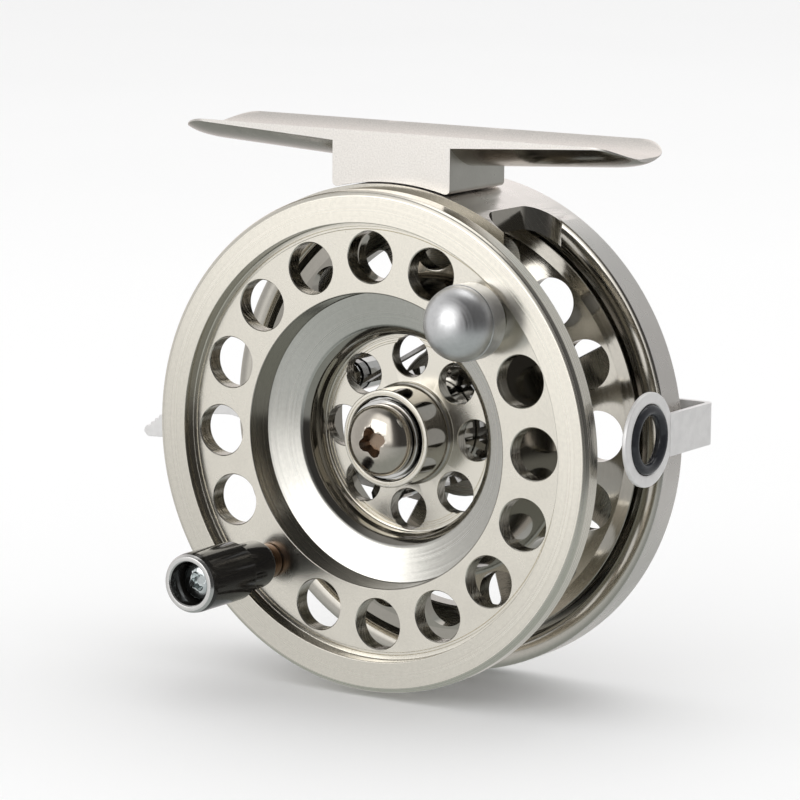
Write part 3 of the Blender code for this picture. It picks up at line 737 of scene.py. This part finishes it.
def make_spool_screw():
    """The big screw in the middle, with painted shade in dark brown inside its recess, and its washer."""
    dome = [(4.3 * sin(radians(a)), 2.95 - 1.85 * cos(radians(a))) for a in range(6, 78, 6)]
    outline = [(0.0, 1.1)] + dome + [(4.3, 2.75, 0.25), (4.3, 3.55, 0.1), (1.65, 3.55), (1.65, 10.0),
                                     (0.0, 10.0)]
    screw = new_object("spool_screw_head", lathe(rounded(outline), MEDIUM), place(0, 0, 0))
    combine(screw, cross(1.25, 4.3, 0.7, 2.6, radians(18)))
    screw.data.materials.append(screw_paint)
    screw.data.materials.append(recess_shade_paint)
    for face in screw.data.polygons:
        x, y, z = face.center / MM
        dome_depth = 2.95 - 1.85 * max(0.0, 1 - (hypot(x, z) / 4.3) ** 2) ** 0.5
        if hypot(x, z) < 2.3 and y > dome_depth + 0.05 and y < 2.7:
            face.material_index = 1
    bevel(screw, 0.07, 2, 45)
    finish_piece(screw, "frame", ["spool_screw"], screw_paint)
    washer = [(1.85, 3.8), (4.75, 3.8, 0.12), (4.75, 4.3, 0.12), (1.85, 4.3)]
    turned_piece("screw_washer", washer, "frame", ["spool_washer"], nickel_paint)


def make_counterweight():
    centre = middle("counterweight")
    outline = [(0.0, -7.2)]
    outline += [(4.42 * sin(radians(a)), -3.6 - 3.6 * cos(radians(a))) for a in range(5, 86, 5)]
    outline += [(4.42, -3.5), (4.5, -3.42, 0.04), (4.5, -0.75, 0.2), (3.9, -0.5, 0.2), (3.0, -0.3, 0.1)]
    outline += [(3.0, 1.55, 0.1), (1.4, 1.55), (1.4, 3.75, 0.1), (0.0, 3.75)]
    turned_piece("counterweight_dome", outline, "spool", ["counterweight"], dome_paint,
                 centre=centre)


def make_handle():
    """The black sleeve with its bare tip, the post it turns on and the screw in its mouth."""
    centre = HANDLE.x / MM, HANDLE.z / MM
    sleeve = [(1.8, -11.2, 0.1), (2.38, -11.3, 0.1), (2.45, -13.9, 0.2), (2.6, -14.95, 0.06)]
    sleeve += [(2.75, -15.1, 0.05), (3.25, -15.1, 0.12), (3.5, -14.7, 0.15), (3.6, -14.0, 0.3)]
    sleeve += [(3.56, -6.0, 0.12), (3.04, -5.65, 0.1), (2.88, -1.0, 0.5), (2.4, -0.2, 0.3)]
    sleeve += [(1.8, -0.2, 0.1)]
    piece = new_object("sleeve_shell", lathe(rounded(sleeve), MEDIUM), place(centre[0], 0, centre[1]))
    piece.data.materials.append(sleeve_paint)
    piece.data.materials.append(tip_paint)
    paint_faces(piece, lambda radius, depth, normal: 1 if depth < -14.8 else 0)
    finish_piece(piece, "handle_sleeve", ["handle_sleeve"], sleeve_paint)
    post = [(0.0, -7.0), (0.95, -7.0), (0.95, -11.0), (1.6, -11.0), (1.6, 0.1), (2.15, 0.3, 0.15)]
    post += [(2.15, 1.55, 0.1)]
    post += [(1.4, 1.55), (1.4, 3.75, 0.1), (0.0, 3.75)]
    # The post's collar shows on the ring face; its very dark brown is brass darkened to a painted shadow
    # of the handle
    turned_piece("handle_pin", post, "spool", ["handle_post"], brass_shadow_paint, centre=centre)
    screw = [(0.0, -13.25)] + [(2.28 * sin(radians(a)), -12.6 - 0.65 * cos(radians(a)))
                               for a in range(15, 90, 15)]
    screw += [(2.28, -11.5, 0.1), (0.85, -11.5), (0.85, -7.5), (0.0, -7.5)]
    turned_piece("handle_screw_head", screw, "spool", ["handle_screw"], zinc_paint,
                 SMALL, centre, cross(0.85, 2.8, -13.6, -12.3, radians(24)))


# ---------------------------------------------------------------- line guide

GUIDE_X = 33.0
GUIDE_DEPTH = 8.8
GUIDE_HEIGHT = 2.65


def turned_on_x(outline, steps):
    """Turn an (x offset, radius) outline about the guide's axis; the origin is its centre."""
    bm = bmesh.new()
    rows = []
    for x, radius in outline:
        rows.append([bm.verts.new((x * MM, y * MM, z * MM)) for y, z in
                     (polar(radius, 2 * pi * step / steps) for step in range(steps))])
    for first, second in zip(rows, rows[1:] + rows[:1]):
        for step in range(steps):
            after = (step + 1) % steps
            bm.faces.new((first[step], first[after], second[after], second[step]))
    return bm


def make_guide():
    """A flange on a bent strip round the frame's edge, its pad, ring and two screws."""
    centre = place(GUIDE_X, GUIDE_DEPTH, GUIDE_HEIGHT)
    flange = [(-0.3, 4.2, 0.1), (-0.3, 5.55, 0.15), (0.3, 5.55, 0.15), (0.3, 4.35, 0.1), (0.22, 4.2, 0.03)]
    bracket = new_object("guide_flange", turned_on_x(rounded(flange), MEDIUM), centre)
    thick, outside, back, bend = 0.7, 0.35, 24.5 - GUIDE_DEPTH, 1.1
    low, high = -GUIDE_HEIGHT, 5.0 - GUIDE_HEIGHT
    path = [(outside, 4.9), (outside, back, bend), (23.6 - GUIDE_X, back)]
    path += [(23.6 - GUIDE_X, back - thick), (outside - thick, back - thick, bend - 0.5)]
    path += [(outside - thick, 4.9)]
    points = rounded(path)
    combine(bracket, layers([[(x, y, z) for x, y in points] for z in (low, high)]), "UNION")
    shift = Matrix.Translation((-GUIDE_X * MM, -GUIDE_DEPTH * MM, -GUIDE_HEIGHT * MM))
    pad = [(23.4, -4.4, 0.3), (27.25, -4.4, 0.8), (27.25, 8.85, 0.8), (23.4, 8.85, 0.3)]
    plate = prism(rounded(pad), 23.82, 24.48)
    bmesh.ops.transform(plate, matrix=shift, verts=plate.verts)
    combine(bracket, plate, "UNION")
    bevel(bracket, 0.12, 2, 40)
    finish_piece(bracket, "frame", ["guide_bracket"], sheet_paint)
    section = [(0.75 * sin(radians(a)), 3.45 + 0.69 * cos(radians(a))) for a in range(0, 360, 12)]
    ring = new_object("guide_ring_insert", turned_on_x(section, MEDIUM), centre)
    finish_piece(ring, "frame", ["guide_ring"], ceramic_paint)
    for node in ("guide_screw_lower", "guide_screw_upper"):
        outline = [(0.0, 25.95), (0.8, 25.85, 0.3), (1.7, 25.3, 0.2), (1.7, 24.7, 0.1), (0.85, 24.7),
                   (0.85, 21.3, 0.2), (0.0, 21.3)]
        turned_piece(node + "_head", outline, "frame", [node], nickel_paint, SMALL,
                     middle(node), cross(0.6, 2.1, 26.3, 25.3, radians(30)))


# ---------------------------------------------------------------- lock lever, click and tail

def make_lever():
    """A thin cranked arm with teeth at its tip, holed for its pivot and the pawl's stud."""
    pivot = (PIVOT.x / MM, PIVOT.z / MM)
    stud = (-7.5, -9.4)
    upper = [(-24.0, -4.2, 3.0), (-30.0, -1.6, 6.0), (-36.0, -0.6, 8.0), (-42.0, -1.2, 4.0),
             (-44.6, -2.4, 2.0)]
    teeth = []
    start, end = Vector((-46.3, -3.75)), Vector((-49.55, -6.3))
    along = (end - start).normalized()
    inward = Vector((-along.y, along.x))
    count = 5
    for index in range(count):
        base = start.lerp(end, index / count)
        crest = start.lerp(end, (index + 0.5) / count)
        teeth += [tuple(base + inward * 0.3), tuple(crest)]
    teeth.append((*end, 0.3))
    lower = [(-49.7, -6.9, 0.2), (-49.1, -7.5, 0.4), (-46.9, -7.4, 1.0), (-44.5, -6.0, 2.0),
             (-41.5, -3.9, 3.0), (-36.0, -3.3, 6.0), (-30.0, -5.0, 6.0), (-24.0, -8.6, 2.0)]
    outline = upper + teeth + lower
    outline += arc(pivot, 2.9, 240, 300, 8) + arc(stud, 2.0, 260, 400, 14) + arc(pivot, 2.9, 45, 110, 8)
    local = [(point[0] - pivot[0], point[1] - pivot[1], *point[2:]) for point in outline]
    lever = new_object("lever_arm", prism(rounded(local), 24.0, 25.0), place(pivot[0], 0, pivot[1]))
    holes = lathe([(0, 23), (1.35, 23), (1.35, 26), (0, 26)], SMALL)
    lathe([(0, 23), (1.1, 23), (1.1, 26), (0, 26)], SMALL, holes,
          (stud[0] - pivot[0], stud[1] - pivot[1]))
    combine(lever, holes)
    bevel(lever, 0.1, 2, 40)
    finish_piece(lever, "lock_lever", ["lock_lever"], sheet_paint)
    outline = [(0.0, 26.6), (1.4, 26.5, 0.5), (2.4, 25.9, 0.3), (2.4, 25.3, 0.1), (1.2, 25.3),
               (1.2, 21.2, 0.2), (0.0, 21.2)]
    turned_piece("lever_screw_head", outline, "frame", ["lever_pivot_screw"],
                 nickel_paint, MEDIUM, pivot, cross(0.8, 2.9, 27.0, 25.7, radians(-20)))


def make_tail():
    """The spindle with its threaded end, nut and washer at the back."""
    outline = [(1.75, 4.5), (2.95, 4.5, 0.1), (2.95, 21.5), (2.0, 21.5)]
    pitch = 0.5
    for index in range(9):
        depth = 22.2 + pitch * index
        outline += [(2.0, depth), (1.78, depth + pitch / 2)]
    outline += [(2.0, 26.7), (2.0, 26.95), (1.75, 27.2), (0.0, 27.2), (0.0, 12.0), (1.75, 12.0)]
    turned_piece("spindle_tail", outline, "frame", ["spindle"], nickel_paint, SMALL)
    hexagon = [(*polar(4.04, radians(60 * corner)), 0.15) for corner in range(6)]
    nut = new_object("tail_nut", prism(rounded(hexagon), 24.5, 26.7), place(0, 0, 0))
    cone = [(3.3, 23.0), (3.55, 24.45), (4.2, 24.85), (4.2, 26.35), (3.55, 26.75), (3.3, 28.0),
            (6.0, 28.0), (6.0, 23.0)]
    cutter = lathe(cone, MEDIUM)
    lathe([(0, 23), (2.4, 24.2), (2.1, 24.8), (2.1, 26.4), (2.4, 27.0), (0, 28)], MEDIUM, cutter)
    combine(nut, cutter)
    bevel(nut, 0.05, 2, 30)
    finish_piece(nut, "frame", ["spindle_nut"], nickel_paint)
    washer = [(2.1, 23.75), (4.5, 23.75, 0.1), (4.5, 24.25, 0.1), (2.1, 24.25)]
    turned_piece("tail_washer", washer, "frame", ["spindle_washer"], nickel_paint)


def paint_nodes():
    """Materials for the CAD pieces that keep their own shape."""
    paints = {"ratchet_gear": nickel_paint, "bearing_spacer": nickel_paint, "click_post": nickel_paint,
              "click_spring": spring_paint, "lock_pawl": nickel_paint, "foot_screw_front": nickel_paint,
              "foot_screw_rear": nickel_paint}
    for end in ("front", "rear"):
        for race in ("inner", "outer"):
            paints[f"{end}_bearing_{race}_race"] = nickel_paint
    for node, paint in paints.items():
        mesh = frame["nodes"][node].data
        mesh.materials.clear()
        mesh.materials.append(paint)


# ---------------------------------------------------------------- camera, light and floor

def aim(thing, target):
    thing.rotation_euler = (target - thing.location).to_track_quat("-Z", "Y").to_euler()


def make_camera():
    """The photograph's view: from the front right and a little above, seen from half a metre."""
    azimuth, elevation, roll, distance = radians(32.34), radians(9.44), radians(0.60), 0.4845
    back = Vector((sin(azimuth) * cos(elevation), -cos(azimuth) * cos(elevation), sin(elevation)))
    level = Vector((cos(azimuth), sin(azimuth), 0.0))
    upright = back.cross(level)
    right = level * cos(roll) + upright * sin(roll)
    up = upright * cos(roll) - level * sin(roll)
    camera = bpy.data.objects.new("camera", bpy.data.cameras.new("camera"))
    camera.data.sensor_width = 36.0
    camera.data.lens = 186.03
    camera.data.clip_start = 0.01
    turn = Matrix((right, up, back)).transposed()
    camera.matrix_world = Matrix.Translation(place(4.70, 0, 5.73) + back * distance) @ turn.to_4x4()
    bpy.context.scene.collection.objects.link(camera)
    bpy.context.scene.camera = camera


def area_light(name, direction, distance, size, power):
    light = bpy.data.lights.new(name, "AREA")
    light.shape = "RECTANGLE"
    light.size, light.size_y = size
    light.energy = power
    thing = bpy.data.objects.new(name, light)
    thing.location = AXIS + Vector(direction).normalized() * distance
    bpy.context.scene.collection.objects.link(thing)
    aim(thing, AXIS)


def make_world():
    """Plain white round the reel; its metal mirrors a studio with a softbox and a pale table.

    Heights and compass angles are in degrees.
    """
    world = bpy.data.worlds.new("studio")
    bpy.context.scene.world = world
    world.use_nodes = True
    tree = world.node_tree

    def add(kind, **settings):
        node = tree.nodes.new("ShaderNode" + kind)
        for key, value in settings.items():
            setattr(node, key, value)
        return node

    def calculate(operation, first, second=0.0, third=0.0):
        node = add("Math", operation=operation)
        for socket, value in zip(node.inputs, (first, second, third)):
            if isinstance(value, (int, float)):
                socket.default_value = value
            else:
                tree.links.new(value, socket)
        return node.outputs[0]

    def between(value, low, high):
        """Rises smoothly from 0 at low to 1 at high, which may be the smaller of the two."""
        node = add("MapRange", interpolation_type="SMOOTHSTEP")
        node.inputs["From Min"].default_value = low
        node.inputs["From Max"].default_value = high
        tree.links.new(value, node.inputs["Value"])
        return node.outputs["Result"]

    def around(stops):
        """Colour by compass angle: 0 is straight ahead of the reel, 90 its right-hand side."""
        ramp = add("ValToRGB")
        ramp.color_ramp.interpolation = "B_SPLINE"
        dots = ramp.color_ramp.elements
        while len(dots) < len(stops):
            dots.new(0.5)
        for dot, (angle, value, tint) in zip(dots, stops):
            dot.position = (angle + 180) / 360
            dot.color = (value * tint[0], value * tint[1], value * tint[2], 1.0)
        tree.links.new(compass, ramp.inputs["Fac"])
        return ramp.outputs["Color"]

    def blend(fac, first, second):
        mix = add("Mix", data_type="RGBA")
        tree.links.new(fac, mix.inputs["Factor"])
        for socket, value in ((mix.inputs["A"], first), (mix.inputs["B"], second)):
            if isinstance(value, tuple):
                socket.default_value = (*value, 1.0)
            else:
                tree.links.new(value, socket)
        return mix.outputs["Result"]

    where = add("TexCoord")
    split = add("SeparateXYZ")
    tree.links.new(where.outputs["Generated"], split.inputs[0])
    away = calculate("MULTIPLY", split.outputs["Y"], -1.0)
    turn = calculate("ARCTAN2", split.outputs["X"], away)
    compass = calculate("MULTIPLY_ADD", turn, 1 / (2 * pi), 0.5)
    angle = calculate("MULTIPLY", turn, 180 / pi)
    height = calculate("MULTIPLY", calculate("ARCSINE", split.outputs["Z"]), 180 / pi)
    plain, cool, warm = (1.0, 1.0, 1.0), (0.97, 1.02, 1.03), (1.04, 0.97, 0.96)
    walls = around([(-180, 0.45, cool), (-165, 0.95, plain), (-145, 1.05, warm), (-108, 0.5, plain),
                    (-90, 0.75, plain), (-62, 0.5, plain), (-42, 0.58, plain), (-20, 0.66, plain),
                    (0, 0.35, plain), (18, 0.06, warm), (40, 0.05, plain), (105, 0.06, plain),
                    (120, 0.1, plain), (138, 0.35, plain), (155, 0.5, plain), (180, 0.45, cool)])
    ceiling = around([(-180, 0.4, plain), (-150, 0.8, plain), (-100, 0.35, plain), (-60, 0.35, plain),
                      (-30, 0.3, plain), (0, 0.08, plain), (30, 0.05, plain), (110, 0.06, plain),
                      (150, 0.35, plain), (180, 0.4, plain)])
    table = around([(-180, 0.62, plain), (-140, 0.78, warm), (-105, 0.52, plain), (-60, 0.6, plain),
                    (-30, 0.72, plain), (0, 0.55, cool), (30, 0.38, cool), (90, 0.36, cool),
                    (150, 0.56, plain), (180, 0.62, plain)])
    sky = blend(between(height, 32, 55), walls, ceiling)
    ground = blend(between(height, -45, -15), (0.36, 0.385, 0.375), table)
    studio = blend(between(height, -18, -12), ground, sky)
    softbox = calculate("MULTIPLY", between(angle, -46, -28), between(angle, 12, 0))
    softbox = calculate("MULTIPLY", softbox, between(height, -14, -3))
    softbox = calculate("MULTIPLY", softbox, between(height, 52, 34))
    studio = blend(softbox, studio, (1.3, 1.3, 1.3))
    ray = add("LightPath")
    colour = blend(ray.outputs["Is Glossy Ray"], (1.0, 1.0, 1.0), studio)
    tree.links.new(colour, tree.nodes["Background"].inputs["Color"])


def make_floor():
    """A white floor just under the reel, left out of the metal's reflections."""
    low = cad_bounds[0][2] - 0.2 * MM
    bm = bmesh.new()
    bmesh.ops.create_grid(bm, x_segments=8, y_segments=8, size=3.0)
    floor = new_object("floor", bm, Vector((0.0, 0.0, low)))
    made = Nodes("floor_white", (0.93, 0.93, 0.93), 0.7, 0.0)
    made.tint(made.grain(300.0), 0.01)
    floor.data.materials.append(made.material)
    floor.visible_glossy = False


def make_lights():
    area_light("softbox", (-0.36, -0.93, 0.26), 0.8, (0.42, 0.30), 0.55)
    area_light("overhead", (0.0, 0.4, 1.0), 0.9, (0.6, 0.6), 1.0)


make_camera()
make_spool()
make_frame()
make_foot()
make_spool_screw()
make_counterweight()
make_handle()
make_guide()
make_lever()
make_tail()
paint_nodes()
make_world()
make_floor()
make_lights()
bpy.context.scene.view_settings.view_transform = "Standard"
